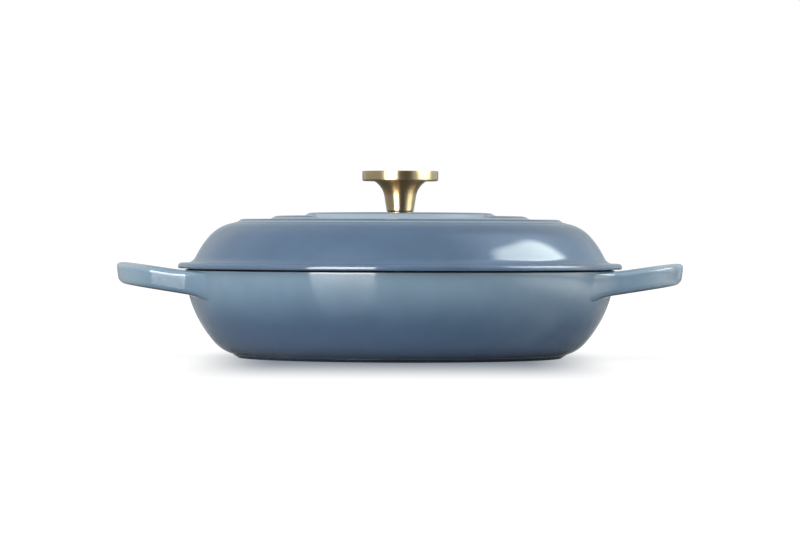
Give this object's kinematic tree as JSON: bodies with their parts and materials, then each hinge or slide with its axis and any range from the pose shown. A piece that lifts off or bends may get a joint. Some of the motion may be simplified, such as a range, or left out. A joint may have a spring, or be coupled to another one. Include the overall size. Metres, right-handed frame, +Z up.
{
  "type": "shallow lidded casserole",
  "caption": "Shallow round casserole in blue enamelled cast iron with cast loop handles, a domed lid with stepped rings and a gold-toned metal knob.",
  "frame": {"origin": "middle of the foot ring, on the surface the pot stands on", "axes": "+X along the line through the two handles, +Z up, the front with the gap in the lid's middle ring faces -Y"},
  "size_m": [0.3528, 0.2778, 0.1167],
  "materials": {
    "blue_enamel": "glossy vitreous enamel",
    "gold_metal": "satin gold-toned plating, turned",
    "steel": "plain"
  },
  "bodies": {
    "pot": {"pot_body": "blue_enamel"},
    "lid": {"lid": "blue_enamel", "knob_stem": "gold_metal", "knob_cap": "gold_metal", "knob_screw": "steel", "knob_washer": "steel"}
  },
  "joints": [
    {"name": "lid_lift", "type": "slide", "parent": "pot", "child": "lid", "axis": [0, 0, 1], "range_m": [0, 0.15]}
  ]
}
